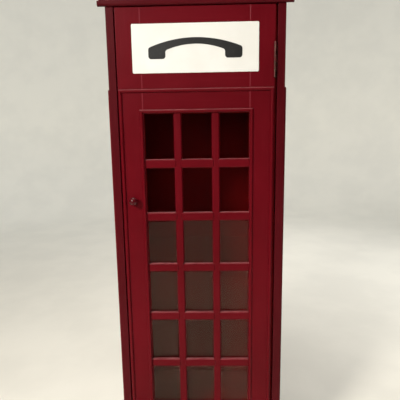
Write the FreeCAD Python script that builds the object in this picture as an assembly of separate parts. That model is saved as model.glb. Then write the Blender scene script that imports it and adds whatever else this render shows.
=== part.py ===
"""Display cabinet in the shape of a red telephone booth, built as separate joinery and hardware pieces.

Millimetres, +Z up, front towards -Y. The origin is the centre of the footprint on the floor.
"""

import FreeCAD
import Part
import math
import os

Vector = FreeCAD.Vector

# ---- Driving dimensions --------------------------------------------------------------------
BODY_W = 550.0  # outside width over the side boards
BODY_D = 450.0  # outside depth, front edge to back face
CORNICE_PROUD = 9.0  # cornice in front of the body
CORNICE_PAST = 22.0  # cornice past the body at each end
KNOB_REACH = 32.0  # knob's tip in front of the door's face
SIDE_T = 24.0  # side board thickness
BOARD_T = 18.0  # floor, top, plinth and pediment boards
BACK_T = 6.0  # back panel thickness
PLINTH_H = 150.0

DOOR_T = 24.0
DOOR_GAP = 3.0  # at the top and the bottom
LATCH_GAP = 4.0
HINGE_GAP = 8.0  # where the frame leaf lies
PANE_W = 95.3
PANE_H = 145.5
BAR_W = 26.0  # upright glazing bars
BAR_H = 30.0  # cross bars
COLUMNS = 3
ROWS = 6
BOTTOM_RAIL_H = 160.0
OPENING_DROP = 318.9  # underside of the roof board down to the window opening
BEAD_DROP = 244.4  # underside of the roof board down to the outer bead

BEAD_W, BEAD_PROUD = 11.0, 6.5  # outer bead
SILL_W, SILL_PROUD = 11.0, 5.5  # bead round a window opening
BEAD_INSET = 1.0  # outer bead in from the door's side edges
SIDE_BEAD_INSET = 8.0  # outer bead in from the side board's front and back edges

BACK_SCREW_R, BACK_SCREW_L = 1.6, 16.0
BACK_HEAD_R, BACK_HEAD_H = 3.6, 2.0

# ---- Places worked out from them -----------------------------------------------------------
FRONT = -(BODY_D + BACK_HEAD_H - KNOB_REACH) / 2  # keeps the footprint centred on the origin
BACK = FRONT + BODY_D
HALF_W = BODY_W / 2
INNER_W = HALF_W - SIDE_T
PANEL_FRONT = BACK - BACK_T

OPEN_W = COLUMNS * PANE_W + (COLUMNS - 1) * BAR_W
OPEN_H = ROWS * PANE_H + (ROWS - 1) * BAR_H
DOOR_BOTTOM = PLINTH_H + DOOR_GAP
OPEN_BOTTOM = DOOR_BOTTOM + BOTTOM_RAIL_H
OPEN_TOP = OPEN_BOTTOM + OPEN_H
BODY_H = OPEN_TOP + OPENING_DROP  # floor to the underside of the roof board
DOOR_TOP = BODY_H - DOOR_GAP

DOOR_L = -INNER_W + LATCH_GAP
DOOR_R = INNER_W - HINGE_GAP
DOOR_X = (DOOR_L + DOOR_R) / 2
DOOR_BACK = FRONT + DOOR_T
OPEN_Z = (OPEN_TOP + OPEN_BOTTOM) / 2
BEAD_TOP = BODY_H - BEAD_DROP
BEAD_BOTTOM = DOOR_BOTTOM + 0.5
SEAM_L = DOOR_X - OPEN_W / 2  # stile to rail joints
SEAM_R = DOOR_X + OPEN_W / 2

BAR_SET_BACK = 3.0  # glazing bars behind the door's face
BAR_DEPTH = 12.0
BAR_ROUND = 6.0
GLASS_T = 3.0
GLASS_FRONT = FRONT + BAR_SET_BACK + BAR_DEPTH
REBATE = 8.0  # step round the window opening that holds the glass

FLOOR_TOP = PLINTH_H + 12.0  # stands above the door's lower edge and stops the door
SIDE_OPEN_W = 284.0
SIDE_Y = (FRONT + BACK) / 2
SIDE_FIELD = 8.0  # depth of the sunk field behind the false bars

HINGE_L = 101.6
HINGE_FROM_TOP = 113.4
HINGE_FROM_BOTTOM = 55.0
HINGE_X = DOOR_R
HINGE_Y = FRONT - 4.6
BARREL_R = 4.0
PIN_R = 2.0
PIN_PLAY = 0.04
LEAF_T = 2.0
LEAF_DEPTH = 22.0  # back from the door's face
CRANK_DEPTH = 2.5
KNUCKLES = 5

SIGN_W, SIGN_H, SIGN_T = 391.0, 146.0, 3.0
SIGN_DROP = 51.4
SIGN_POCKET = 2.0
SIGN_PLAY = 1.0

KNOB_X = (DOOR_L + SEAM_L) / 2
KNOB_Z = BODY_H - 598.4

SHELF_T = 6.0
SHELF_FRONT = FRONT + 60.0
SHELF_HEIGHTS = (BODY_H - 1211.0, BODY_H - 845.0, BODY_H - 481.0)
SCREW_R = 1.75
SCREW_HEAD_R = 3.4
SCREW_HEAD_H = 1.6

# ---- Shape helpers -------------------------------------------------------------------------
PLANES = {  # local X, Y and Z of a sheet of trim, in the cabinet's axes
    "front": (Vector(1, 0, 0), Vector(0, 0, 1), Vector(0, -1, 0)),
    "left": (Vector(0, -1, 0), Vector(0, 0, 1), Vector(-1, 0, 0)),
    "right": (Vector(0, 1, 0), Vector(0, 0, 1), Vector(1, 0, 0)),
    "top": (Vector(1, 0, 0), Vector(0, 1, 0), Vector(0, 0, 1)),
}


def box(x0, x1, y0, y1, z0, z1):
    return Part.makeBox(x1 - x0, y1 - y0, z1 - z0, Vector(x0, y0, z0))


def cylinder(radius, start, end):
    along = end - start
    return Part.makeCylinder(radius, along.Length, start, along)


def on_plane(shapes, plane, at):
    """Copies of shapes drawn flat in local XY, stood on one of the planes with their origin at a point."""
    x, y, z = PLANES[plane]
    rows = (x.x, y.x, z.x, at.x, x.y, y.y, z.y, at.y, x.z, y.z, z.z, at.z, 0, 0, 0, 1)
    matrix = FreeCAD.Matrix(*rows)
    placed = []
    for shape in shapes:
        copy = shape.copy()
        copy.Placement = FreeCAD.Placement(matrix).multiply(copy.Placement)
        placed.append(copy)
    return placed


def profile_face(start, steps):
    """Face in the YZ plane. A step is a point for a line, or two points for an arc through the first."""
    edges = []
    here = start
    for step in steps + [start]:
        if isinstance(step[0], tuple):
            middle, there = step
            points = [Vector(0, *p) for p in (here, middle, there)]
            edges.append(Part.Arc(*points).toShape())
        else:
            there = step
            edges.append(Part.makeLine(Vector(0, *here), Vector(0, *there)))
        here = there
    return Part.Face(Part.Wire(edges))


def bead_profile(width, proud, edge=1.2):
    """Half-round moulding with a thin square edge."""
    return profile_face((0, 0), [(0, edge), ((width / 2, proud), (width, edge)), (width, 0)])


def bar_profile(width, depth, radius):
    """Glazing bar with both front arrises rounded over."""
    turn = radius * (1 - math.sqrt(0.5))
    return profile_face(
        (0, 0),
        [
            (0, depth - radius),
            ((turn, depth - turn), (radius, depth)),
            (width - radius, depth),
            ((width - turn, depth - turn), (width, depth - radius)),
            (width, 0),
        ],
    )


def mitred_frame(width, height, face, strip):
    """Four mitred lengths of moulding round a rectangle about the local origin, the profile's Y inwards."""
    reach = strip + 4.0
    lengths = []
    for turn in range(4):
        long, half = (width, height / 2) if turn % 2 == 0 else (height, width / 2)
        bar = face.extrude(Vector(long, 0, 0))
        bar.translate(Vector(-long / 2, -half, 0))
        corners = [
            Vector(-long / 2 - 4, -half - 4, -1),
            Vector(long / 2 + 4, -half - 4, -1),
            Vector(long / 2 - reach, -half + reach, -1),
            Vector(-long / 2 + reach, -half + reach, -1),
        ]
        keep = Part.Face(Part.makePolygon(corners + corners[:1])).extrude(Vector(0, 0, 60))
        piece = bar.common(keep)
        piece.rotate(Vector(), Vector(0, 0, 1), 90 * turn)
        lengths.append(piece)
    return lengths


def glazing_grid(width, height, upright_w, cross_h, depth, radius):
    """Upright bars, and cross bars coped against them, filling an opening centred on the local origin."""
    pane_w = (width - (COLUMNS - 1) * upright_w) / COLUMNS
    pane_h = (height - (ROWS - 1) * cross_h) / ROWS
    uprights = []
    for column in range(1, COLUMNS):
        bar = bar_profile(upright_w, depth, radius).extrude(Vector(height, 0, 0))
        bar.rotate(Vector(), Vector(0, 0, 1), 90)
        bar.translate(Vector(-width / 2 + column * (pane_w + upright_w), -height / 2, 0))
        uprights.append(bar)
    crosses = []
    for row in range(1, ROWS):
        bar = bar_profile(cross_h, depth, radius).extrude(Vector(width, 0, 0))
        bar.translate(Vector(-width / 2, -height / 2 + row * (pane_h + cross_h) - cross_h, 0))
        for upright in uprights:
            bar = bar.cut(upright)
        crosses.extend(bar.Solids)
    return uprights, crosses


def screw(at, into, length):
    """Countersunk screw whose head lies flush with the surface at a point, with a slot."""
    head = Part.makeCone(SCREW_HEAD_R, SCREW_R, SCREW_HEAD_H, at, into)
    shank = cylinder(SCREW_R, at, at + into * length)
    slot = Part.makeBox(8, 0.9, 1.4, Vector(-4, -0.45, -0.7))
    stand = FreeCAD.Placement(at, FreeCAD.Rotation(Vector(0, 0, 1), into))
    slot.Placement = stand.multiply(slot.Placement)
    return head.fuse(shank).removeSplitter().cut(slot)


def screw_hole(at, into, length, play=0.05):
    head = Part.makeCone(SCREW_HEAD_R + play, SCREW_R + play, SCREW_HEAD_H, at, into)
    return head.fuse(cylinder(SCREW_R + play, at - into, at + into * (length + play)))


def cut_all(shape, tools):
    return shape.cut(tools) if tools else shape


def export(name, shapes):
    solids = []
    for shape in shapes if isinstance(shapes, list) else [shapes]:
        solids.extend(shape.Solids)
    for solid in solids:
        if not solid.isValid() or solid.Volume <= 0:
            raise ValueError(f"{name} holds a solid that isn't sound")
    whole = solids[0] if len(solids) == 1 else Part.makeCompound(solids)
    whole.exportStep(f"parts/{name}.step")
    print(f"{name:24s} {len(solids):3d} solids {sum(s.Volume for s in solids) / 1000:10.1f} cm3")


# ---- Screws and dowels, which the boards are bored for ---------------------------------------
DOWEL_R = 5.0
DOWEL_PLAY = 0.05


def dowels(points, length, play=0.0):
    half = Vector(length / 2, 0, 0)
    return [cylinder(DOWEL_R + play, at - half, at + half) for at in points]


def door_dowel_points():
    y = FRONT + 9.0
    heights = (DOOR_BOTTOM + 30, DOOR_BOTTOM + 125, OPEN_TOP + 30, OPEN_TOP + 155, DOOR_TOP - 32)
    return [Vector(x, y, z) for x in (SEAM_L, SEAM_R) for z in heights]


def cabinet_dowel_points():
    depths = (FRONT + 60, SIDE_Y, BACK - 50)
    levels = (FLOOR_TOP - BOARD_T / 2, BODY_H - BOARD_T / 2)
    return [Vector(side * INNER_W, y, z) for side in (-1, 1) for y in depths for z in levels]


DOOR_DOWEL_L, CABINET_DOWEL_L = 60.0, 28.0
HINGE_FEET = (DOOR_BOTTOM + HINGE_FROM_BOTTOM, BODY_H - HINGE_FROM_TOP - HINGE_L)
HINGE_SCREW_SPOTS = ((9.0, 14.0), (16.0, 38.0), (16.0, HINGE_L - 38.0), (9.0, HINGE_L - 14.0))
HINGE_SCREW_L = 16.0


def hinge_screw_places(side):
    """Points and direction of the screws in the door leaves (side -1) or the frame leaves (side 1)."""
    x = DOOR_R if side < 0 else INNER_W - LEAF_T
    into = Vector(side, 0, 0)
    spots = [(back, foot + up) for foot in HINGE_FEET for back, up in HINGE_SCREW_SPOTS]
    return [(Vector(x, FRONT + back, z), into) for back, z in spots]


def back_screw_points():
    edge = INNER_W + 5.0
    heights = [FLOOR_TOP + 40 + i * (BODY_H - FLOOR_TOP - 80) / 5 for i in range(6)]
    points = [Vector(side * edge, BACK, z) for side in (-1, 1) for z in heights]
    for z in (FLOOR_TOP - BOARD_T / 2, BODY_H - BOARD_T / 2):
        points.extend(Vector(x, BACK, z) for x in (-150, 0, 150))
    return points


CATCH_X, CATCH_W, CATCH_H, CATCH_D = -205.0, 46.0, 13.0, 16.0
CATCH_FEET = (FLOOR_TOP, BODY_H - BOARD_T - CATCH_H)
KEEPER_T = 1.4


def catch_screw_places():
    """Head centre, direction and length of the screws through the catch housings and the keepers."""
    places = []
    for z0, way in zip(CATCH_FEET, (-1, 1)):
        outer = z0 + CATCH_H if way < 0 else z0
        for side in (-1, 1):
            places.append((Vector(CATCH_X + side * 18.5, DOOR_BACK + 10.4, outer), Vector(0, 0, way), 24.0))
            keeper_at = Vector(CATCH_X + side * 16.0, DOOR_BACK + KEEPER_T, z0 + CATCH_H / 2)
            places.append((keeper_at, Vector(0, -1, 0), 14.0))
    return places


def shelf_pin_points():
    depths = (SHELF_FRONT + 40, BACK - 60)
    return [Vector(side * INNER_W, y, z - 2.5) for z in SHELF_HEIGHTS for side in (-1, 1) for y in depths]


PIN_HOLE_R, PIN_HOLE_DEPTH = 2.5, 9.0
ROOF_SCREW_POINTS = [Vector(x, y, BODY_H - BOARD_T) for x in (-180, 0, 180) for y in (FRONT + 70, BACK - 60)]
ROOF_SCREW_L = 26.0


# ---- Cabinet -------------------------------------------------------------------------------
def back_screw_hole(point):
    return cylinder(BACK_SCREW_R, point, point - Vector(0, BACK_SCREW_L, 0))


def side_panel(side):
    """Side board with a rebate for the back panel, and a sunk field where a window would be."""
    inner, outer = sorted((side * INNER_W, side * HALF_W), key=abs)
    board = box(min(inner, outer), max(inner, outer), FRONT, BACK, 0, BODY_H)
    rebate_x = sorted((inner, inner + side * 10.0))
    rebate = box(rebate_x[0], rebate_x[1], PANEL_FRONT, BACK, 0, BODY_H)
    field_x = sorted((outer, outer - side * SIDE_FIELD))
    half = SIDE_OPEN_W / 2
    field = box(field_x[0], field_x[1], SIDE_Y - half, SIDE_Y + half, OPEN_BOTTOM, OPEN_TOP)
    holes = [field]
    holes += dowels([p for p in cabinet_dowel_points() if p.x * side > 0], CABINET_DOWEL_L, DOWEL_PLAY)
    in_side = Vector(side * PIN_HOLE_DEPTH, 0, 0)
    holes += [cylinder(PIN_HOLE_R, p, p + in_side) for p in shelf_pin_points() if p.x * side > 0]
    holes += [back_screw_hole(p) for p in back_screw_points() if p.x * side > INNER_W]
    if side > 0:
        holes += [screw_hole(at, into, HINGE_SCREW_L) for at, into in hinge_screw_places(1)]
    return cut_all(board.cut(rebate), holes)


def floor_board():
    board = box(-INNER_W, INNER_W, DOOR_BACK + 1, PANEL_FRONT, FLOOR_TOP - BOARD_T, FLOOR_TOP)
    holes = dowels([p for p in cabinet_dowel_points() if p.z < PLINTH_H + 20], CABINET_DOWEL_L, DOWEL_PLAY)
    holes += [back_screw_hole(p) for p in back_screw_points() if abs(p.x) < INNER_W]
    holes += [screw_hole(*place) for place in catch_screw_places()]
    return cut_all(board, holes)


def top_board():
    board = box(-INNER_W, INNER_W, DOOR_BACK + 1, PANEL_FRONT, BODY_H - BOARD_T, BODY_H)
    holes = dowels([p for p in cabinet_dowel_points() if p.z > PLINTH_H + 20], CABINET_DOWEL_L, DOWEL_PLAY)
    holes += [back_screw_hole(p) for p in back_screw_points() if abs(p.x) < INNER_W]
    holes += [screw_hole(p, Vector(0, 0, 1), ROOF_SCREW_L) for p in ROOF_SCREW_POINTS]
    holes += [screw_hole(*place) for place in catch_screw_places()]
    return cut_all(board, holes)


def back_panel():
    panel = box(-INNER_W - 9.5, INNER_W + 9.5, PANEL_FRONT, BACK, FLOOR_TOP - BOARD_T, BODY_H)
    return cut_all(panel, [back_screw_hole(p) for p in back_screw_points()])


def back_screws():
    made = []
    for p in back_screw_points():
        dome = Part.makeSphere(4.24, p - Vector(0, 2.24, 0))
        head = dome.common(cylinder(BACK_HEAD_R, p, p + Vector(0, BACK_HEAD_H, 0)))
        slot = box(p.x - 5, p.x + 5, BACK + 1.1, BACK + 4, p.z - 0.45, p.z + 0.45)
        made.append(head.fuse(cylinder(BACK_SCREW_R, p, p - Vector(0, BACK_SCREW_L, 0))).cut(slot))
    return made


def corner_blocks():
    """Three-cornered blocks glued behind the front plinth and in front of the back one."""
    size, made = 40.0, []
    plinth_back = FRONT + BOARD_T
    for side in (-1, 1):
        for y, way in ((plinth_back, 1), (PANEL_FRONT - BOARD_T, -1)):
            x = side * INNER_W
            corners = [Vector(x, y, 5), Vector(x - side * size, y, 5), Vector(x, y + way * size, 5)]
            made.append(Part.Face(Part.makePolygon(corners + corners[:1])).extrude(Vector(0, 0, 95)))
    return made


def door_stops():
    """Upright strips on the side boards behind the door's edges, and the two felt pads on the left one."""
    front, back = DOOR_BACK + 1, DOOR_BACK + 19
    left = box(-INNER_W, -INNER_W + 14, front, back, FLOOR_TOP, BODY_H - BOARD_T)
    right = box(INNER_W - 14, INNER_W, front, back, FLOOR_TOP, BODY_H - BOARD_T)
    heights = (FLOOR_TOP + 280, BODY_H - 280)
    feet = [Vector(-INNER_W + 8, front, z) for z in heights]
    return [left, right], [cylinder(4.0, foot, foot - Vector(0, 0.7, 0)) for foot in feet]


def side_trim(side):
    """Outer bead, window bead and false bars of one side."""
    plane = "left" if side < 0 else "right"
    bead_h = BEAD_TOP - BEAD_BOTTOM
    face = Vector(side * HALF_W, SIDE_Y, 0)
    outer = mitred_frame(BODY_D - 2 * SIDE_BEAD_INSET, bead_h, bead_profile(BEAD_W, BEAD_PROUD), BEAD_W)
    sill = bead_profile(SILL_W, SILL_PROUD)
    window = mitred_frame(SIDE_OPEN_W + 2 * SILL_W, OPEN_H + 2 * SILL_W, sill, SILL_W)
    uprights, crosses = glazing_grid(SIDE_OPEN_W, OPEN_H, BAR_W, BAR_H, SIDE_FIELD - 1.5, 5.0)
    mid_bead = face + Vector(0, 0, (BEAD_TOP + BEAD_BOTTOM) / 2)
    mid_open = face + Vector(0, 0, OPEN_Z)
    in_field = mid_open - Vector(side * SIDE_FIELD, 0, 0)
    return (
        on_plane(outer, plane, mid_bead),
        on_plane(window, plane, mid_open),
        on_plane(uprights, plane, in_field),
        on_plane(crosses, plane, in_field),
    )


# ---- Roof ----------------------------------------------------------------------------------
ROOF_BOARD_T = 15.0
NOSING_R = 6.0  # lower arris of the cornice
COVE_FOOT, COVE_R = 4.0, 9.5
COVE_SET_BACK = 2.0
COVE_END_SET_BACK = 5.0
PEDIMENT_H = 48.0  # at its corners
DOME_RISE = 62.0
DOME_T = 9.0
PEDIMENT_LIP = 4.0  # pediment's arc above the dome
PEDIMENT_SET_BACK = 3.0
PEDIMENT_X = HALF_W - PEDIMENT_SET_BACK
PEDIMENT_Y = BODY_D / 2 - PEDIMENT_SET_BACK
DOME_X, DOME_Y = PEDIMENT_X - BOARD_T, PEDIMENT_Y - BOARD_T
DOME_R = (DOME_X**2 + DOME_Y**2 + DOME_RISE**2) / (2 * DOME_RISE)
DOME_FOOT = BODY_H + ROOF_BOARD_T + PEDIMENT_H - PEDIMENT_LIP
DOME_CENTRE = DOME_FOOT + DOME_RISE - DOME_R


def roof_board():
    board = box(-HALF_W, HALF_W, FRONT, BACK, BODY_H, BODY_H + ROOF_BOARD_T)
    return cut_all(board, [screw_hole(p, Vector(0, 0, 1), ROOF_SCREW_L) for p in ROOF_SCREW_POINTS])


def cornice_strips():
    """Nosed strip along the roof board's front edge, and the cove strip on it. Both run past the sides."""
    nose_y, foot_z = FRONT - CORNICE_PROUD, BODY_H + ROOF_BOARD_T
    turn = NOSING_R * (1 - math.sqrt(0.5))
    nosing = profile_face(
        (FRONT, BODY_H),
        [
            (nose_y + NOSING_R, BODY_H),
            ((nose_y + turn, BODY_H + turn), (nose_y, BODY_H + NOSING_R)),
            (nose_y, foot_z),
            (FRONT, foot_z),
        ],
    )
    face_y, arc_z = nose_y + COVE_SET_BACK, foot_z + COVE_FOOT
    middle = (face_y + COVE_R * math.sqrt(0.5), arc_z + COVE_R * (1 - math.sqrt(0.5)))
    cove = profile_face(
        (FRONT + PEDIMENT_SET_BACK, foot_z),
        [
            (face_y, foot_z),
            (face_y, arc_z),
            (middle, (face_y + COVE_R, arc_z + COVE_R)),
            (FRONT + PEDIMENT_SET_BACK, arc_z + COVE_R),
        ],
    )
    strips = []
    for face, half in ((nosing, HALF_W + CORNICE_PAST), (cove, HALF_W + CORNICE_PAST - COVE_END_SET_BACK)):
        strip = face.extrude(Vector(2 * half, 0, 0))
        strip.translate(Vector(-half, 0, 0))
        strips.append(strip)
    return strips


def dome_height(x, y):
    return DOME_CENTRE + math.sqrt(DOME_R**2 - x**2 - y**2)


def pediment(half, across):
    """Board with a segmental top, drawn in the XZ plane. Across is its distance from the dome's axis."""
    foot = BODY_H + ROOF_BOARD_T
    end, top = (dome_height(x, across) + PEDIMENT_LIP for x in (half, 0))
    points = [Vector(-half, 0, end), Vector(-half, 0, foot), Vector(half, 0, foot), Vector(half, 0, end)]
    arc = Part.Arc(points[3], Vector(0, 0, top), points[0]).toShape()
    wire = Part.Wire(Part.makePolygon(points).Edges + [arc])
    return Part.Face(wire).extrude(Vector(0, BOARD_T, 0))


def pediments():
    front = pediment(PEDIMENT_X, DOME_Y)
    front.translate(Vector(0, SIDE_Y - PEDIMENT_Y, 0))
    back = pediment(PEDIMENT_X, DOME_Y)
    back.translate(Vector(0, SIDE_Y + DOME_Y, 0))
    right = pediment(DOME_Y, DOME_X)
    right.rotate(Vector(), Vector(0, 0, 1), 90)
    left = right.copy()
    right.translate(Vector(PEDIMENT_X, SIDE_Y, 0))
    left.translate(Vector(-DOME_X, SIDE_Y, 0))
    return {"front": front, "back": back, "left": left, "right": right}


def roof_dome():
    """Shallow sail dome, bent from thin sheet, that fills the space between the pediments."""
    foot = BODY_H + ROOF_BOARD_T
    block = box(-DOME_X, DOME_X, SIDE_Y - DOME_Y, SIDE_Y + DOME_Y, foot, DOME_FOOT + DOME_RISE + 5)
    centre = Vector(0, SIDE_Y, DOME_CENTRE)
    return block.common(Part.makeSphere(DOME_R, centre)).cut(Part.makeSphere(DOME_R - DOME_T, centre))


# ---- Door ----------------------------------------------------------------------------------
def door_cutters():
    """The glass rebate, the sign's pocket and the dowel holes, which run across several frame members."""
    grow = REBATE
    rebate = box(SEAM_L - grow, SEAM_R + grow, GLASS_FRONT, DOOR_BACK, OPEN_BOTTOM - grow, OPEN_TOP + grow)
    half_w, half_h = SIGN_W / 2 + SIGN_PLAY, SIGN_H / 2 + SIGN_PLAY
    z = BODY_H - SIGN_DROP - SIGN_H / 2
    pocket = box(DOOR_X - half_w, DOOR_X + half_w, FRONT, FRONT + SIGN_POCKET, z - half_h, z + half_h)
    upright_edges = [e for e in pocket.Edges if abs(e.Vertexes[0].Y - e.Vertexes[1].Y) > 1]
    pocket = pocket.makeFillet(5.0, upright_edges)
    return [rebate, pocket] + dowels(door_dowel_points(), DOOR_DOWEL_L, DOWEL_PLAY)


def door_frame():
    cutters = door_cutters()
    knob_hole = cylinder(2.2, Vector(KNOB_X, FRONT - 1, KNOB_Z), Vector(KNOB_X, DOOR_BACK + 1, KNOB_Z))
    hinge_holes = [screw_hole(at, into, HINGE_SCREW_L) for at, into in hinge_screw_places(-1)]
    for foot in HINGE_FEET:
        recess = box(DOOR_R - LEAF_T, DOOR_R + 1, FRONT - 1, FRONT + LEAF_DEPTH, foot, foot + HINGE_L)
        hinge_holes.append(recess)
    keeper_holes = [screw_hole(*place) for place in catch_screw_places()]
    members = {
        "door_stile_left": (DOOR_L, SEAM_L, DOOR_BOTTOM, DOOR_TOP, [knob_hole] + keeper_holes),
        "door_stile_right": (SEAM_R, DOOR_R, DOOR_BOTTOM, DOOR_TOP, hinge_holes),
        "door_top_rail": (SEAM_L, SEAM_R, OPEN_TOP, DOOR_TOP, []),
        "door_bottom_rail": (SEAM_L, SEAM_R, DOOR_BOTTOM, OPEN_BOTTOM, []),
    }
    return {
        name: cut_all(box(x0, x1, FRONT, DOOR_BACK, z0, z1), cutters + extra)
        for name, (x0, x1, z0, z1, extra) in members.items()
    }


def door_trim():
    """Outer bead, notched for the lower hinge's barrel, and window bead."""
    outer_w = DOOR_R - DOOR_L - 2 * BEAD_INSET
    outer = mitred_frame(outer_w, BEAD_TOP - BEAD_BOTTOM, bead_profile(BEAD_W, BEAD_PROUD), BEAD_W)
    window = mitred_frame(OPEN_W + 2 * SILL_W, OPEN_H + 2 * SILL_W, bead_profile(SILL_W, SILL_PROUD), SILL_W)
    outer = on_plane(outer, "front", Vector(DOOR_X, FRONT, (BEAD_TOP + BEAD_BOTTOM) / 2))
    low, high = HINGE_FEET[0] - 4, HINGE_FEET[0] + HINGE_L + 4
    notch = box(HINGE_X - BARREL_R - 0.8, DOOR_R, FRONT - 10, FRONT, low, high)
    outer = [length.cut(notch) for length in outer]
    return outer, on_plane(window, "front", Vector(DOOR_X, FRONT, OPEN_Z))


def door_bars():
    uprights, crosses = glazing_grid(OPEN_W, OPEN_H, BAR_W, BAR_H, BAR_DEPTH, BAR_ROUND)
    at = Vector(DOOR_X, GLASS_FRONT, OPEN_Z)
    return on_plane(uprights, "front", at), on_plane(crosses, "front", at)


def glass_pane():
    lap = REBATE - 1.0
    back = GLASS_FRONT + GLASS_T
    return box(SEAM_L - lap, SEAM_R + lap, GLASS_FRONT, back, OPEN_BOTTOM - lap, OPEN_TOP + lap)


def glass_stops():
    """Strips that hold the glass in its rebate from behind, and the pins through them."""
    depth = DOOR_BACK - GLASS_FRONT - GLASS_T
    face = profile_face((0, 0), [(0, depth), (REBATE - 2, depth), (REBATE + 2, depth - 3), (REBATE + 2, 0)])
    strips = mitred_frame(OPEN_W + 2 * REBATE, OPEN_H + 2 * REBATE, face, REBATE + 2)
    placed = on_plane(strips, "front", Vector(DOOR_X, 0, OPEN_Z))
    turned = []
    for strip in placed:
        strip.rotate(Vector(DOOR_X, 0, OPEN_Z), Vector(0, 0, 1), 180)
        strip.translate(Vector(0, GLASS_FRONT + GLASS_T, 0))
        turned.append(strip)
    return turned


def sign():
    """Sign plate, and the handset symbol laid on it."""
    plate = box(-SIGN_W / 2, SIGN_W / 2, -SIGN_H / 2, SIGN_H / 2, 0, SIGN_T)
    plate = plate.makeFillet(4.0, [e for e in plate.Edges if abs(e.Vertexes[0].Z - e.Vertexes[1].Z) > 1])
    rim, middle = 145.0, 92.0
    low, shoulder, crown = -31.0, 2.0, 31.0
    inner_shoulder, inner_crown = -6.0, 12.0
    lines = [
        Part.makeLine(Vector(-rim, low, 0), Vector(-rim, shoulder, 0)),
        Part.Arc(Vector(-rim, shoulder, 0), Vector(0, crown, 0), Vector(rim, shoulder, 0)).toShape(),
        Part.makeLine(Vector(rim, shoulder, 0), Vector(rim, low, 0)),
        Part.makeLine(Vector(rim, low, 0), Vector(middle, low, 0)),
        Part.makeLine(Vector(middle, low, 0), Vector(middle, inner_shoulder, 0)),
        Part.Arc(
            Vector(middle, inner_shoulder, 0), Vector(0, inner_crown, 0), Vector(-middle, inner_shoulder, 0)
        ).toShape(),
        Part.makeLine(Vector(-middle, inner_shoulder, 0), Vector(-middle, low, 0)),
        Part.makeLine(Vector(-middle, low, 0), Vector(-rim, low, 0)),
    ]
    symbol = Part.Face(Part.Wire(lines)).extrude(Vector(0, 0, 0.5))
    corners = [e for e in symbol.Edges if abs(e.Vertexes[0].Z - e.Vertexes[1].Z) > 0.4]
    symbol = symbol.makeFillet(9.0, corners)
    z = BODY_H - SIGN_DROP - SIGN_H / 2
    at = Vector(DOOR_X, FRONT + SIGN_POCKET, z)
    return on_plane([plate], "front", at)[0], on_plane([symbol], "front", at - Vector(0, SIGN_T, 0))[0]


def knob():
    """Turned knob and the screw that holds it from behind the door."""
    foot_r, neck_r, ball_r, tip_r, bore_r = 9.0, 6.5, 14.0, 2.6, 2.05
    reach = KNOB_REACH
    outline = [
        Part.makeLine(Vector(foot_r, 0, 0), Vector(foot_r, 0, 2)),
        Part.Arc(Vector(foot_r, 0, 2), Vector(neck_r, 0, 6), Vector(8.0, 0, 10.5)).toShape(),
        Part.Arc(Vector(8.0, 0, 10.5), Vector(ball_r, 0, 19), Vector(9.5, 0, 28.5)).toShape(),
        Part.Arc(Vector(9.5, 0, 28.5), Vector(5.2, 0, 31.2), Vector(tip_r, 0, reach)).toShape(),
        Part.makeLine(Vector(tip_r, 0, reach), Vector(bore_r, 0, reach)),
        Part.makeLine(Vector(bore_r, 0, reach), Vector(bore_r, 0, 0)),
        Part.makeLine(Vector(bore_r, 0, 0), Vector(foot_r, 0, 0)),
    ]
    body = Part.Face(Part.Wire(outline)).revolve(Vector(), Vector(0, 0, 1), 360)
    body = body.fuse(cylinder(bore_r, Vector(0, 0, 16.05), Vector(0, 0, reach))).removeSplitter()
    placed = on_plane([body], "front", Vector(KNOB_X, FRONT, KNOB_Z))[0]
    behind = Vector(KNOB_X, DOOR_BACK, KNOB_Z)
    shank = cylinder(2.0, behind, behind - Vector(0, DOOR_T + 16, 0))
    head = cylinder(4.5, behind, behind + Vector(0, 0.8, 0))
    slot = box(KNOB_X - 5, KNOB_X + 5, DOOR_BACK + 0.3, DOOR_BACK + 2, KNOB_Z - 0.5, KNOB_Z + 0.5)
    return placed, shank.fuse(head).cut(slot)


# ---- Hinges --------------------------------------------------------------------------------
def hinge_leaf(foot, side):
    """One leaf with its knuckles. Side -1 is the door leaf, let into the door's edge. Side 1 is the frame
    leaf, which has the outer knuckles and is cranked across the gap to the side board."""
    axis = Vector(HINGE_X, HINGE_Y, foot)
    top = foot + HINGE_L
    step = HINGE_L / KNUCKLES
    near = HINGE_Y + BARREL_R + 0.6
    if side < 0:
        web = (DOOR_R - LEAF_T, DOOR_R)
        leaf = box(*web, near, FRONT + LEAF_DEPTH, foot, top)
    else:
        web = (DOOR_R + 0.4, DOOR_R + 0.4 + LEAF_T)
        leaf = box(*web, near, FRONT + CRANK_DEPTH + LEAF_T, foot, top)
        crank = FRONT + CRANK_DEPTH
        leaf = leaf.fuse(box(web[0], INNER_W, crank, crank + LEAF_T, foot, top))
        leaf = leaf.fuse(box(INNER_W - LEAF_T, INNER_W, crank, FRONT + LEAF_DEPTH, foot, top))
    first = 0 if side > 0 else 1
    for index in range(first, KNUCKLES, 2):
        low = foot + index * step + (0.15 if index else 0)
        high = foot + (index + 1) * step - (0.15 if index < KNUCKLES - 1 else 0)
        knuckle = cylinder(BARREL_R, Vector(axis.x, axis.y, low), Vector(axis.x, axis.y, high))
        leaf = leaf.fuse(knuckle).fuse(box(*web, HINGE_Y, near + 1, low, high))
    bore = cylinder(PIN_R + PIN_PLAY, axis - Vector(0, 0, 1), axis + Vector(0, 0, HINGE_L + 1))
    places = [p for p in hinge_screw_places(side) if foot <= p[0].z <= top]
    holes = [screw_hole(at, into, HINGE_SCREW_L) for at, into in places]
    return cut_all(leaf.removeSplitter(), [bore] + holes)


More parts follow.
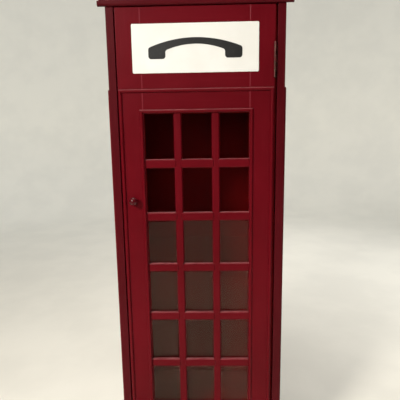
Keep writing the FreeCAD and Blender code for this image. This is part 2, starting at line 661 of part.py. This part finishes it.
def hinge_pin(foot):
    """Pin with a button at each end of the barrel."""
    axis = Vector(HINGE_X, HINGE_Y, foot)
    top = axis + Vector(0, 0, HINGE_L)
    pin = cylinder(PIN_R, axis, top)
    for end, way in ((axis, -1), (top, 1)):
        button = cylinder(3.6, end, end + Vector(0, 0, way * 2.2))
        circles = [e for e in button.Edges if e.Curve.TypeId == "Part::GeomCircle"]
        outer = [e for e in circles if abs(e.Vertexes[0].Z - end.z) > 1]
        pin = pin.fuse(button.makeFillet(1.2, outer))
    return pin


# ---- Fittings ------------------------------------------------------------------------------
def catches():
    """Magnetic catches on the floor board and under the top board: housings, magnets and door keepers."""
    housings, magnets, keepers = [], [], []
    holes = [screw_hole(*place) for place in catch_screw_places()]
    for z0 in CATCH_FEET:
        y0 = DOOR_BACK + KEEPER_T + 1.0
        body = box(CATCH_X - CATCH_W / 2, CATCH_X + CATCH_W / 2, y0, y0 + CATCH_D, z0, z0 + CATCH_H)
        bay = box(CATCH_X - 14, CATCH_X + 14, y0 - 1, y0 + 10, z0 + 3, z0 + CATCH_H - 3)
        housings.append(cut_all(body.cut(bay), holes))
        magnets.append(box(CATCH_X - 14, CATCH_X + 14, y0 - 0.5, y0 + 10, z0 + 3, z0 + CATCH_H - 3))
        low, high = z0 + 0.5, z0 + CATCH_H - 0.5
        keeper = box(CATCH_X - 20, CATCH_X + 20, DOOR_BACK, DOOR_BACK + KEEPER_T, low, high)
        keepers.append(cut_all(keeper, holes))
    return housings, magnets, keepers


def shelves():
    half, back = INNER_W - 2.5, PANEL_FRONT - 2.5
    return [box(-half, half, SHELF_FRONT, back, z, z + SHELF_T) for z in SHELF_HEIGHTS]


def shelf_pins():
    """Peg in the side board with a flat tongue that carries the glass."""
    made = []
    for p in shelf_pin_points():
        side = 1 if p.x > 0 else -1
        inner, outer = p + Vector(side * (PIN_HOLE_DEPTH - 0.5), 0, 0), p - Vector(side * 3, 0, 0)
        peg = cylinder(PIN_HOLE_R - 0.05, inner, outer)
        x0, x1 = sorted((p.x, p.x - side * 13.0))
        tongue = box(x0, x1, p.y - 5, p.y + 5, p.z + 1.0, p.z + 2.5)
        made.append(peg.fuse(tongue).removeSplitter())
    return made


def main():
    os.makedirs("parts", exist_ok=True)
    export("side_panel_left", side_panel(-1))
    export("side_panel_right", side_panel(1))
    export("floor_board", floor_board())
    export("top_board", top_board())
    export("back_panel", back_panel())
    export("back_panel_screws", back_screws())
    export("plinth_front", box(-INNER_W, INNER_W, FRONT, FRONT + BOARD_T, 0, PLINTH_H))
    export("plinth_back", box(-INNER_W, INNER_W, PANEL_FRONT - BOARD_T, PANEL_FRONT, 0, FLOOR_TOP - BOARD_T))
    export("plinth_corner_blocks", corner_blocks())
    export("cabinet_dowels", dowels(cabinet_dowel_points(), CABINET_DOWEL_L))
    strips, pads = door_stops()
    export("door_stop_strips", strips)
    export("door_stop_pads", pads)
    for side, name in ((-1, "left"), (1, "right")):
        outer, window, uprights, crosses = side_trim(side)
        export(f"side_outer_bead_{name}", outer)
        export(f"side_window_bead_{name}", window)
        export(f"side_bars_upright_{name}", uprights)
        export(f"side_bars_cross_{name}", crosses)

    export("roof_board", roof_board())
    export("cornice_strips", cornice_strips())
    for name, board in pediments().items():
        export(f"pediment_{name}", board)
    export("roof_dome", roof_dome())
    export("roof_screws", [screw(p, Vector(0, 0, 1), ROOF_SCREW_L) for p in ROOF_SCREW_POINTS])

    for name, member in door_frame().items():
        export(name, member)
    export("door_dowels", dowels(door_dowel_points(), DOOR_DOWEL_L))
    outer, window = door_trim()
    export("door_outer_bead", outer)
    export("door_window_bead", window)
    uprights, crosses = door_bars()
    export("glazing_bars_upright", uprights)
    export("glazing_bars_cross", crosses)
    export("glass_pane", glass_pane())
    export("glass_stops", glass_stops())
    plate, symbol = sign()
    export("sign_plate", plate)
    export("sign_symbol", symbol)
    turned, fixing = knob()
    export("knob", turned)
    export("knob_screw", fixing)

    for foot, name in zip(HINGE_FEET, ("bottom", "top")):
        export(f"hinge_{name}_door_leaf", hinge_leaf(foot, -1))
        export(f"hinge_{name}_frame_leaf", hinge_leaf(foot, 1))
        export(f"hinge_{name}_pin", hinge_pin(foot))
    export("hinge_screws_door", [screw(at, into, HINGE_SCREW_L) for at, into in hinge_screw_places(-1)])
    export("hinge_screws_frame", [screw(at, into, HINGE_SCREW_L) for at, into in hinge_screw_places(1)])

    housings, magnets, keepers = catches()
    export("catch_housings", housings)
    export("catch_magnets", magnets)
    export("catch_keepers", keepers)
    fixed = [screw(*place) for place in catch_screw_places() if place[1].z]
    export("catch_housing_screws", fixed)
    export("catch_keeper_screws", [screw(*place) for place in catch_screw_places() if place[1].y])
    for shelf, name in zip(shelves(), ("lower", "middle", "upper")):
        export(f"glass_shelf_{name}", shelf)
    export("shelf_pins", shelf_pins())


main()
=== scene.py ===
import bmesh
import bpy
import math
from mathutils import Matrix, Vector


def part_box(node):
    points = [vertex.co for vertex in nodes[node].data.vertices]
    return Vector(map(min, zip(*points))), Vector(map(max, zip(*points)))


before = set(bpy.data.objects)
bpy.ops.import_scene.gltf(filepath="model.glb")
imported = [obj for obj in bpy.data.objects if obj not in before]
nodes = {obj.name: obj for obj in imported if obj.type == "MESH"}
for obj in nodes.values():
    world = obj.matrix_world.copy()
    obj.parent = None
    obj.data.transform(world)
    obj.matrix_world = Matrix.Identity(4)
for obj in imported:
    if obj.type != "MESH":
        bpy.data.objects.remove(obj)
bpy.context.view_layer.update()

# ---- Shape, in metres ------------------------------------------------------------------------
PAINT_ARRIS = 0.0011  # how far an arris is rounded, by material
SIGN_ARRIS = 0.0008
PLASTIC_ARRIS = 0.0006
METAL_ARRIS = 0.0004
ARRIS_SAMPLES = 6
SMOOTH_ANGLE = math.radians(32)  # edges sharper than this stay sharp
WELD_DISTANCE = 1e-6
SEAM_LINE = (0.0028, 0.0009)  # a seam's colour starts this far from its middle and is full this near to it
SEAM_GROOVE = (0.0011, 0.0002)  # and its groove likewise

# ---- Colours, linear -------------------------------------------------------------------------
# Each pair is the lighter colour and the deeper one that clouds it.
RED, RED_DEEP = (0.108, 0.0015, 0.0054), (0.089, 0.0010, 0.0040)
# A darker copy of the red as painted shade, for the posts, sides, roof board, cornice and knob
RED_SHADED, RED_SHADED_DEEP = (0.069, 0.0022, 0.0050), (0.057, 0.0016, 0.0038)
# A much lighter copy of the red for the inside: painted light for the light that comes in through the panes
RED_INSIDE_LIT, RED_INSIDE_LIT_DEEP = (0.255, 0.0036, 0.0052), (0.200, 0.0028, 0.0042)
RED_DUSTY_AND_HIGHLIT = (0.160, 0.010, 0.019)  # brush streaks, scuffs and rubbed arrises; on the arrises it is also a painted highlight
RED_SEAM = (0.34, 0.055, 0.075)
# Dust on level tops, which also serves as a painted highlight from the light above
DUST_AND_HIGHLIGHT = (0.46, 0.20, 0.20)
PRIMER = (0.30, 0.13, 0.10)
SIGN, SIGN_DEEP = (0.735, 0.725, 0.685), (0.70, 0.685, 0.64)
SIGN_SPECK = (0.70, 0.66, 0.58)
SIGN_EDGE = (0.62, 0.57, 0.48)
INK, INK_SPECK = (0.010, 0.010, 0.009), (0.030, 0.028, 0.025)
BRASS, BRASS_DEEP = (0.15, 0.095, 0.065), (0.075, 0.044, 0.032)
STEEL, STEEL_DEEP = (0.45, 0.45, 0.44), (0.24, 0.24, 0.24)
FERRITE, FERRITE_DEEP = (0.10, 0.10, 0.105), (0.05, 0.05, 0.055)
BROWN, BROWN_DEEP = (0.034, 0.017, 0.010), (0.022, 0.011, 0.007)
BROWN_EDGE = (0.075, 0.045, 0.03)
FELT, FELT_DEEP = (0.075, 0.034, 0.028), (0.030, 0.012, 0.010)
BEECH, BEECH_DEEP = (0.55, 0.36, 0.20), (0.40, 0.24, 0.12)
BEECH_PORE = (0.22, 0.12, 0.06)

# ---- Glass -----------------------------------------------------------------------------------
PANE_TINT = (0.87, 0.88, 0.87)
SHELF_TINT = (0.95, 0.975, 0.96)
MIRROR_TINT = (1.0, 0.62, 0.52)  # warm: a painted reflection colour, which makes the pale floor mirrored in the lower panes look brown
HEAD_ON_MIRROR = 0.026  # share of the light that each face of a sheet mirrors head on
GRAZING_POWER = 5.0  # how steeply that share rises to all of the light along the sheet

# ---- Paint -----------------------------------------------------------------------------------
GRAIN = {  # noise scale along each axis: long along the board, fine across it
    "z": (260, 260, 7),
    "x": (7, 260, 260),
    "y": (260, 7, 260),
}
GRAIN_TURN = (0.01, 0.013, 0.008)  # brush strokes run a little off the board's length
FINE_GRAIN = 2.6  # scale of the finest streaks against the others
PAINT_IOR = 1.45
SATIN, MATT, POLISHED = 0.32, 0.5, 0.22  # roughness
PAINT_SHINE, KNOB_SHINE = 0.11, 0.32  # specular level
STREAKED, SCUFFED, SEAMED = 0.20, 0.22, 0.23  # how strongly each shows in the colour
TOPS_DUST_AND_HIGHLIGHT, ROOF_DUST_AND_HIGHLIGHT, INSIDE_DUST_AND_HIGHLIGHT, KNOB_DUST_AND_HIGHLIGHT = 0.22, 0.08, 0.06, 0.05  # how strongly a level top is lightened: dust, and a painted highlight from light falling from above

# ---- Stage, lamps and camera, in metres, watts and degrees -------------------------------------
STAGE = (0.74, 0.70, 0.61)
STAGE_GLOW = (0.90, 0.94, 0.92)
FLOOR_GLOW, WALL_GLOW = 0.04, 0.26  # strength of the glow near the object and at the wall
GLOW_FROM, GLOW_TO = 0.8, 6.2
FLOOR_RINGS = (0.001, 0.8, 1.6, 3.2, 4.6)  # radii
WALL_RADIUS = 6.0
WALL_HEIGHT = 4.6
BEND_STEPS = 16
ROUND_SEGMENTS = 128
WORLD, WORLD_STRENGTH = (0.93, 0.96, 1.0), 0.22
WIDEST = 180
LAMPS = (  # name, place, aim, size, power, colour, spread, whether glass and gloss mirror it
    ("key", (-2.2, -3.0, 3.0), (0, -0.1, 0.25), 0.9, 34, (1.0, 0.97, 0.92), 80, True),
    ("overhead", (-0.4, -0.55, 3.5), (0, -0.2, 1.0), 1.2, 22, (1.0, 0.98, 0.96), WIDEST, True),
    ("front", (-0.3, -3.8, 2.0), (0, 0, 0.6), 1.6, 17, (1.0, 0.95, 0.92), WIDEST, False),
    ("back", (1.0, 3.2, 2.9), (0, 0, 1.0), 1.6, 44, (0.95, 0.97, 1.0), WIDEST, True),
    ("side", (3.3, 1.4, 1.9), (0, 0, 0.9), 1.6, 52, (0.97, 0.98, 1.0), WIDEST, False),
)
CAMERA_AT = (0.0432, -1.4993, 1.2752)
CAMERA_TURN, CAMERA_DOWN, CAMERA_ROLL = -1.657, 9.642, -0.867
LENS = SENSOR = 36.0  # millimetres


# ---- Shader helpers --------------------------------------------------------------------------
class Shader:
    """A material's node tree with short ways to add and join nodes."""

    def __init__(self, name):
        self.material = bpy.data.materials.new(name)
        self.material.use_nodes = True
        self.tree = self.material.node_tree
        self.surface = self.tree.nodes["Principled BSDF"]
        self.output = self.tree.nodes["Material Output"]
        self.place = self.node("ShaderNodeTexCoord").outputs["Object"]

    def node(self, kind, **settings):
        made = self.tree.nodes.new(kind)
        for key, value in settings.items():
            setattr(made, key, value)
        return made

    def put(self, socket, value):
        """Links a socket to another, or sets it to a number or a colour."""
        if isinstance(value, bpy.types.NodeSocket):
            self.tree.links.new(value, socket)
        elif isinstance(value, tuple) and len(value) == 3 and socket.type == "RGBA":
            socket.default_value = (*value, 1)
        else:
            socket.default_value = value

    def set(self, **values):
        """Sets the main shader's sockets, with underscores for the spaces in their names."""
        for key, value in values.items():
            self.put(self.surface.inputs[key.replace("_", " ")], value)

    def math(self, operation, a, b=0.0, c=0.0):
        made = self.node("ShaderNodeMath", operation=operation)
        for socket, value in zip(made.inputs, (a, b, c)):
            self.put(socket, value)
        return made.outputs[0]

    def times(self, a, b):
        return self.math("MULTIPLY", a, b)

    def plus(self, a, b):
        return self.math("ADD", a, b)

    def mix(self, amount, a, b, blend="MIX"):
        """Colour a turned into colour b by an amount."""
        made = self.node("ShaderNodeMix", data_type="RGBA", blend_type=blend)
        for socket, value in ((made.inputs[0], amount), (made.inputs[6], a), (made.inputs[7], b)):
            self.put(socket, value)
        return made.outputs[2]

    def split(self, vector):
        made = self.node("ShaderNodeSeparateXYZ")
        self.put(made.inputs[0], vector)
        return made.outputs

    def stretched(self, scale, turn=(0, 0, 0)):
        """The object's own coordinates, scaled along each axis and turned."""
        made = self.node("ShaderNodeMapping")
        self.put(made.inputs["Vector"], self.place)
        made.inputs["Scale"].default_value = scale
        made.inputs["Rotation"].default_value = turn
        return made.outputs[0]

    def noise(self, scale, detail=3.0, roughness=0.55, vector=None, distortion=0.0):
        made = self.node("ShaderNodeTexNoise")
        self.put(made.inputs["Vector"], vector or self.place)
        self.put(made.inputs["Scale"], scale)
        self.put(made.inputs["Detail"], detail)
        self.put(made.inputs["Roughness"], roughness)
        self.put(made.inputs["Distortion"], distortion)
        return made.outputs[0]

    def streaks(self, scale, detail=3.0, roughness=0.6, turn=(0, 0, 0), distortion=0.0):
        """Noise with its own scale along each axis."""
        return self.noise(1.0, detail, roughness, self.stretched(scale, turn), distortion)

    def patches(self, scale, detail, start, full, roughness=0.55):
        """Where noise is high: 0 below start and 1 above full."""
        return self.ramp(self.noise(scale, detail, roughness), start, full)

    def ramp(self, value, low, high, to_low=0.0, to_high=1.0):
        """A smooth step from one number to another as a value goes from low to high."""
        made = self.node("ShaderNodeMapRange", interpolation_type="SMOOTHSTEP")
        numbers = {"Value": value, "From Min": low, "From Max": high, "To Min": to_low, "To Max": to_high}
        for key, number in numbers.items():
            self.put(made.inputs[key], number)
        return made.outputs[0]

    def bump(self, height, distance, strength=1.0, normal=None):
        made = self.node("ShaderNodeBump")
        self.put(made.inputs["Height"], height)
        self.put(made.inputs["Distance"], distance)
        self.put(made.inputs["Strength"], strength)
        if normal is not None:
            self.put(made.inputs["Normal"], normal)
        return made.outputs[0]

    def facing(self, axis):
        """How far a surface faces along an axis: 0 for one that runs along it, 1 for one square to it."""
        normal = self.node("ShaderNodeNewGeometry").outputs["Normal"]
        return self.ramp(self.split(normal)[axis], low=0.25, high=0.90)

    def rounded(self, radius):
        """(Normal with the arrises rounded over, and how near a point is to one, from 0 to 1.)"""
        bevel = self.node("ShaderNodeBevel", samples=ARRIS_SAMPLES)
        bevel.inputs["Radius"].default_value = radius
        flat = self.node("ShaderNodeNewGeometry").outputs["Normal"]
        dot = self.node("ShaderNodeVectorMath", operation="DOT_PRODUCT")
        self.put(dot.inputs[0], bevel.outputs[0])
        self.put(dot.inputs[1], flat)
        return bevel.outputs[0], self.ramp(dot.outputs["Value"], low=0.995, high=0.80)


# ---- Materials -------------------------------------------------------------------------------
def paint(name, grain, base=RED, deep=RED_DEEP, gloss=SATIN, shine=PAINT_SHINE, dust_and_highlight=TOPS_DUST_AND_HIGHLIGHT,
          outside=None, seams=()):
    """Brushed paint over wood. Level tops are lightened by dust and a painted highlight, and the arrises by
    wear that is partly a painted highlight.

    grain is the axis that the board runs along, and gloss is the middle roughness. outside is the colour of
    faces towards the back, where that is another. seams are the X places of joints that show through.
    """
    s = Shader(name)
    cloud = s.noise(scale=3.1, detail=4.0)
    streak = s.streaks(GRAIN[grain], detail=5.0, roughness=0.62, turn=GRAIN_TURN)
    fine = s.streaks(tuple(FINE_GRAIN * k for k in GRAIN[grain]), detail=2.0, roughness=0.5)
    normal, edge = s.rounded(PAINT_ARRIS)

    colour = s.mix(s.ramp(cloud, 0.34, 0.68), deep, base)
    if outside:
        colour = s.mix(s.facing("Y"), colour, outside)
    colour = s.mix(s.times(s.ramp(streak, 0.50, 0.78), STREAKED), colour, RED_DUSTY_AND_HIGHLIT)
    scuffs = s.patches(scale=38.0, detail=5.0, start=0.58, full=0.74, roughness=0.7)
    scuffs = s.times(scuffs, s.ramp(cloud, 0.45, 0.6))
    colour = s.mix(s.times(scuffs, SCUFFED), colour, RED_DUSTY_AND_HIGHLIT)
    # Lighter arrises: rubbed paint, and partly a painted highlight along the edges.
    rubbed_and_highlit = s.ramp(s.noise(scale=55.0, detail=4.0, roughness=0.7), 0.36, 0.62, to_low=0.05, to_high=0.45)
    colour = s.mix(s.times(edge, rubbed_and_highlit), colour, RED_DUSTY_AND_HIGHLIT)
    chips = s.patches(scale=120.0, detail=3.0, start=0.66, full=0.71, roughness=0.6)
    colour = s.mix(s.times(edge, chips), colour, PRIMER)
    # Level tops lighter: dust, and a painted highlight where light from above falls on upward-facing tops
    # and arrises.
    dust_and_highlight_film = s.noise(scale=26.0, detail=4.0, roughness=0.65)
    dust_and_highlight_film = s.ramp(dust_and_highlight_film, 0.30, 0.70, to_low=0.6 * dust_and_highlight, to_high=1.4 * dust_and_highlight)
    colour = s.mix(s.times(s.facing("Z"), dust_and_highlight_film), colour, DUST_AND_HIGHLIGHT)

    rough = s.plus(s.plus(s.times(streak, 0.12), s.times(cloud, 0.10)), gloss - 0.10)
    height = s.plus(s.times(streak, 0.7), s.times(fine, 0.3))
    for seam in seams:
        away = s.math("ABSOLUTE", s.math("SUBTRACT", s.split(s.place)["X"], seam))
        colour = s.mix(s.times(s.ramp(away, *SEAM_LINE), SEAMED), colour, RED_SEAM)
        height = s.plus(height, s.times(s.ramp(away, *SEAM_GROOVE), -1.4))
    s.set(Base_Color=colour, Roughness=rough)
    s.set(Normal=s.bump(height, distance=0.00022, strength=0.8, normal=normal))
    s.set(IOR=PAINT_IOR, Specular_IOR_Level=shine)
    return s.material


def sign_face():
    """Warm white sheet, faintly mottled, with fine specks and yellowed edges."""
    s = Shader("sign_white")
    normal, edge = s.rounded(SIGN_ARRIS)
    colour = s.mix(s.patches(scale=9.0, detail=3.0, start=0.35, full=0.7), SIGN_DEEP, SIGN)
    specks = s.patches(scale=160.0, detail=2.0, start=0.64, full=0.72)
    colour = s.mix(s.times(specks, 0.25), colour, SIGN_SPECK)
    colour = s.mix(s.times(edge, 0.5), colour, SIGN_EDGE)
    rough = s.ramp(s.noise(scale=30.0, detail=3.0), 0.3, 0.7, to_low=0.34, to_high=0.46)
    grain = s.noise(scale=420.0, detail=2.0)
    s.set(Base_Color=colour, Roughness=rough)
    s.set(Normal=s.bump(grain, distance=0.00006, strength=0.6, normal=normal))
    return s.material


def sign_ink():
    """Black film with fine specks."""
    s = Shader("sign_black")
    colour = s.mix(s.patches(scale=240.0, detail=3.0, start=0.55, full=0.75), INK, INK_SPECK)
    rough = s.ramp(s.noise(scale=60.0, detail=3.0), 0.3, 0.7, to_low=0.42, to_high=0.56)
    grain = s.noise(scale=600.0, detail=2.0)
    s.set(Base_Color=colour, Roughness=rough, Normal=s.bump(grain, distance=0.00005, strength=0.5))
    return s.material


def glass(name, tint):
    """Float glass as a thin clear sheet that mirrors by its angle, with faint smears."""
    s = Shader(name)
    s.tree.nodes.remove(s.surface)
    smears = s.noise(scale=6.0, detail=4.0, roughness=0.6, vector=s.stretched((1, 1, 2.5)))
    smears = s.ramp(smears, 0.45, 0.75, to_low=0.0, to_high=0.03)
    clear = s.node("ShaderNodeBsdfTransparent")
    s.put(clear.inputs["Color"], tint)
    mirror = s.node("ShaderNodeBsdfGlossy")
    # The mirror's warm tint is a painted reflection colour.
    s.put(mirror.inputs["Color"], MIRROR_TINT)
    s.put(mirror.inputs["Roughness"], smears)
    slant = s.node("ShaderNodeLayerWeight")
    slant.inputs["Blend"].default_value = 0.5  # makes Facing a plain 1 - cosine
    grazing = s.math("POWER", slant.outputs["Facing"], GRAZING_POWER)
    sheet = s.node("ShaderNodeMixShader")
    s.put(sheet.inputs[0], s.math("MULTIPLY_ADD", grazing, 1 - HEAD_ON_MIRROR, HEAD_ON_MIRROR))
    s.put(sheet.inputs[1], clear.outputs[0])
    s.put(sheet.inputs[2], mirror.outputs[0])
    s.put(s.output.inputs["Surface"], sheet.outputs[0])
    return s.material


def metal(name, colour, deep, low=0.28, high=0.5, over=None, over_amount=0.0):
    """Worn metal with fine scratches, rough between low and high, and optionally smears of paint over it."""
    s = Shader(name)
    normal, edge = s.rounded(METAL_ARRIS)
    patches = s.noise(scale=70.0, detail=5.0, roughness=0.65)
    bright = tuple(min(1.0, 1.3 * c) for c in colour)
    base = s.mix(s.ramp(patches, 0.38, 0.66), deep, colour)
    base = s.mix(s.times(edge, 0.5), base, bright)
    metallic = 1.0
    if over:
        metallic = s.patches(130.0, 4.0, start=over_amount, full=over_amount + 0.12, roughness=0.6)
        base = s.mix(metallic, over, base)
    scratch = s.streaks((900, 900, 25))
    rough = s.ramp(s.plus(s.times(scratch, 0.5), s.times(patches, 0.5)), 0.3, 0.7, low, high)
    s.set(Base_Color=base, Metallic=metallic, Roughness=rough)
    s.set(Normal=s.bump(scratch, distance=0.00004, strength=0.6, normal=normal))
    return s.material


def plastic():
    """Moulded brown plastic with a fine grain."""
    s = Shader("brown_plastic")
    normal, edge = s.rounded(PLASTIC_ARRIS)
    colour = s.mix(s.patches(scale=25.0, detail=3.0, start=0.35, full=0.7), BROWN_DEEP, BROWN)
    colour = s.mix(s.times(edge, 0.5), colour, BROWN_EDGE)
    rough = s.ramp(s.noise(scale=45.0), 0.3, 0.7, to_low=0.38, to_high=0.52)
    grain = s.noise(scale=1500.0, detail=2.0)
    s.set(Base_Color=colour, Roughness=rough)
    s.set(Normal=s.bump(grain, distance=0.00005, strength=0.7, normal=normal))
    return s.material


def felt():
    """Matted dark fibres."""
    s = Shader("felt")
    fibres = s.noise(scale=1600.0, detail=4.0, roughness=0.7)
    s.set(Base_Color=s.mix(fibres, FELT_DEEP, FELT), Roughness=0.95)
    s.set(Normal=s.bump(fibres, distance=0.0003), Sheen_Weight=0.4)
    return s.material


def bare_wood():
    """Planed beech: long fine pores and broad soft bands."""
    s = Shader("bare_wood")
    bands = s.streaks((60, 60, 4), roughness=0.5, distortion=0.4)
    pores = s.streaks((900, 900, 45))
    colour = s.mix(s.ramp(bands, 0.35, 0.68), BEECH_DEEP, BEECH)
    colour = s.mix(s.times(s.ramp(pores, 0.60, 0.74), 0.5), colour, BEECH_PORE)
    s.set(Base_Color=colour, Roughness=s.ramp(pores, 0.3, 0.7, to_low=0.55, to_high=0.72))
    s.set(Normal=s.bump(pores, distance=0.0001, strength=0.7))
    return s.material


# ---- Which material each CAD node takes ------------------------------------------------------
def chosen_materials():
    """{node name: material}, with a paint for each way that the boards run."""
    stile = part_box("door_stile_left")
    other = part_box("door_stile_right")
    seams = (stile[1].x, other[0].x)
    # The inside takes the lighter red, as painted light.
    inner = {"base": RED_INSIDE_LIT, "deep": RED_INSIDE_LIT_DEEP, "gloss": MATT}
    brass = metal("brass", BRASS, BRASS_DEEP, over=RED, over_amount=0.40)
    users = (
        (paint("red_upright", "z"),
         "door_outer_bead door_window_bead glazing_bars_upright "
         "side_outer_bead_left side_window_bead_left side_bars_upright_left "
         "side_outer_bead_right side_window_bead_right side_bars_upright_right"),
        (paint("red_level", "x"), "plinth_front plinth_back glazing_bars_cross"),
        (paint("red_deep", "y"), "pediment_left pediment_right side_bars_cross_left side_bars_cross_right"),
        # Painted shade: the side panels with their posts, the roof board and the cornice take the darker
        # red.
        (paint("red_shaded_upright", "z", RED_SHADED, RED_SHADED_DEEP), "side_panel_left side_panel_right"),
        (paint("red_shaded_level", "x", RED_SHADED, RED_SHADED_DEEP), "roof_board cornice_strips"),
        (paint("red_stile", "z", seams=seams), "door_stile_left door_stile_right"),
        (paint("red_rail", "x", seams=seams), "door_top_rail door_bottom_rail"),
        # The knob in the darker red as painted shade, polished, with a little dust and painted highlight.
        (paint("red_knob", "y", RED_SHADED_DEEP, RED_SHADED_DEEP, POLISHED, KNOB_SHINE, KNOB_DUST_AND_HIGHLIGHT), "knob"),
        (paint("red_inside", "z", dust_and_highlight=INSIDE_DUST_AND_HIGHLIGHT, **inner), "door_stop_strips glass_stops"),
        (paint("red_inside_level", "x", dust_and_highlight=INSIDE_DUST_AND_HIGHLIGHT, **inner), "floor_board top_board"),
        # The back panel's inside face takes the lighter painted-light red, and its outside face the door's
        # red.
        (paint("red_backing", "z", outside=RED, **inner), "back_panel"),
        (paint("red_roof", "x", dust_and_highlight=ROOF_DUST_AND_HIGHLIGHT), "pediment_front pediment_back roof_dome"),
        (brass,
         "hinge_top_door_leaf hinge_top_frame_leaf hinge_top_pin "
         "hinge_bottom_door_leaf hinge_bottom_frame_leaf hinge_bottom_pin "
         "hinge_screws_door hinge_screws_frame"),
        (metal("steel", STEEL, STEEL_DEEP),
         "back_panel_screws roof_screws knob_screw catch_housing_screws "
         "catch_keepers catch_keeper_screws shelf_pins"),
        (metal("magnet", FERRITE, FERRITE_DEEP, low=0.4, high=0.6), "catch_magnets"),
        (glass("shelf_glass", SHELF_TINT), "glass_shelf_lower glass_shelf_middle glass_shelf_upper"),
        (glass("pane_glass", PANE_TINT), "glass_pane"),
        (plastic(), "catch_housings"),
        (felt(), "door_stop_pads"),
        (bare_wood(), "plinth_corner_blocks cabinet_dowels door_dowels"),
        (sign_face(), "sign_plate"),
        (sign_ink(), "sign_symbol"),
    )
    return {name: material for material, names in users for name in names.split()}


def finish_nodes():
    """Gives each node its material, and smooths it up to the angle of its real edges."""
    chosen = chosen_materials()
    for name, node in nodes.items():
        node.data.materials.clear()
        node.data.materials.append(chosen[name])
        for polygon in node.data.polygons:
            polygon.use_smooth = True
        weld = node.modifiers.new("weld", "WELD")
        weld.merge_threshold = WELD_DISTANCE
        split = node.modifiers.new("split", "EDGE_SPLIT")
        split.split_angle = SMOOTH_ANGLE
        split.use_edge_sharp = False


# ---- Stage, light and camera -----------------------------------------------------------------
def add(name, data):
    """A new object in the scene."""
    made = bpy.data.objects.new(name, data)
    bpy.context.scene.collection.objects.link(made)
    return made


def surface_of_revolution(name, outline):
    """Sheet turned round the Z axis from (radius, height) points."""
    mesh = bmesh.new()
    rings = []
    for radius, height in outline:
        ring = []
        for i in range(ROUND_SEGMENTS):
            angle = 2 * math.pi * i / ROUND_SEGMENTS
            ring.append(mesh.verts.new((radius * math.cos(angle), radius * math.sin(angle), height)))
        rings.append(ring)
    for inner, outer in zip(rings, rings[1:]):
        for i in range(ROUND_SEGMENTS):
            j = (i + 1) % ROUND_SEGMENTS
            mesh.faces.new((inner[i], outer[i], outer[j], inner[j]))
    data = bpy.data.meshes.new(name)
    mesh.to_mesh(data)
    mesh.free()
    for polygon in data.polygons:
        polygon.use_smooth = True
    return add(name, data)


def stage():
    """Plain pale floor that curves up into a pale wall all round the object, well away from it."""
    s = Shader("stage")
    mottle = s.ramp(s.noise(scale=2.2, detail=4.0), 0.35, 0.65, to_low=0.97, to_high=1.03)
    s.set(Base_Color=s.mix(1.0, STAGE, mottle, "MULTIPLY"), Roughness=0.75)
    s.set(Specular_IOR_Level=0.2)
    away = s.node("ShaderNodeVectorMath", operation="LENGTH")
    s.put(away.inputs[0], s.place)
    glow = s.ramp(away.outputs["Value"], GLOW_FROM, GLOW_TO, FLOOR_GLOW, WALL_GLOW)
    s.set(Emission_Color=STAGE_GLOW, Emission_Strength=glow)

    floor = surface_of_revolution("stage_floor", [(radius, 0) for radius in FLOOR_RINGS])
    floor_radius = FLOOR_RINGS[-1]
    bend = WALL_RADIUS - floor_radius
    outline = [(floor_radius, 0)]
    for step in range(1, BEND_STEPS + 1):
        angle = math.pi / 2 * step / BEND_STEPS
        outline.append((floor_radius + bend * math.sin(angle), bend * (1 - math.cos(angle))))
    outline.append((WALL_RADIUS, WALL_HEIGHT))
    wall = surface_of_revolution("stage_wall", outline)
    wall.visible_glossy = False
    for made in (floor, wall):
        made.data.materials.append(s.material)


def light():
    """An even dim world that nothing mirrors, and soft round lamps that the camera doesn't see."""
    world = bpy.data.worlds.new("studio")
    bpy.context.scene.world = world
    world.use_nodes = True
    background = world.node_tree.nodes["Background"]
    background.inputs["Color"].default_value = (*WORLD, 1)
    background.inputs["Strength"].default_value = WORLD_STRENGTH
    world.cycles_visibility.glossy = False
    for name, at, aim, size, power, colour, spread, mirrored in LAMPS:
        data = bpy.data.lights.new(name, "AREA")
        data.shape = "DISK"
        data.size, data.energy, data.color = size, power, colour
        data.spread = math.radians(spread)
        made = add(name, data)
        made.location = at
        made.rotation_mode = "QUATERNION"
        made.rotation_quaternion = (Vector(aim) - Vector(at)).to_track_quat("-Z", "Y")
        made.visible_camera = False
        made.visible_glossy = mirrored
    bpy.context.scene.view_settings.view_transform = "Standard"


def camera():
    """Where a hand held it: a little right of centre, tilted down and slightly rolled."""
    turn, down, roll = (math.radians(angle) for angle in (CAMERA_TURN, CAMERA_DOWN, CAMERA_ROLL))
    ahead = Vector((math.sin(turn) * math.cos(down), math.cos(turn) * math.cos(down), -math.sin(down)))
    level = Vector((math.cos(turn), -math.sin(turn), 0))
    over = level.cross(ahead)
    right = level * math.cos(roll) + over * math.sin(roll)
    up = over * math.cos(roll) - level * math.sin(roll)
    data = bpy.data.cameras.new("camera")
    data.lens, data.sensor_width = LENS, SENSOR
    made = add("camera", data)
    made.matrix_world = Matrix((right, up, -ahead)).transposed().to_4x4()
    made.location = CAMERA_AT
    bpy.context.scene.camera = made


finish_nodes()
stage()
light()
camera()
